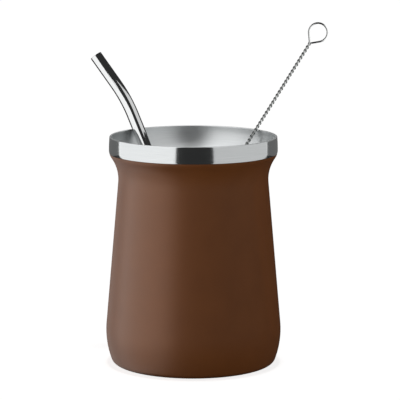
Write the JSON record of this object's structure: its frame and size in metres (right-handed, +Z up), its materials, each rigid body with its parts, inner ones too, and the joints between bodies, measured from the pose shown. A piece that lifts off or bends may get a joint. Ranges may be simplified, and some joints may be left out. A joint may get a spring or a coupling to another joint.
{
  "type": "mate cup",
  "caption": "Double-wall steel mate cup with a painted body, flared neck and bare rim band, holding a bent steel straw and a twisted-wire straw brush with an eye.",
  "frame": {"origin": "centre of the cup's flat base, on the table", "axes": "+Z up along the cup's axis, -Y towards the front, +X to the right, on the side of the brush"},
  "size_m": [0.117, 0.085, 0.1632],
  "materials": {
    "paint": "satin",
    "liner_steel": "satin",
    "straw_steel": "polished",
    "wire_steel": "bright",
    "bristle": "matte"
  },
  "bodies": {
    "root": {"cup_body": "paint", "cup_liner": "liner_steel", "straw": "straw_steel", "brush_wire": "wire_steel", "brush_bristles": "bristle"}
  },
  "joints": []
}
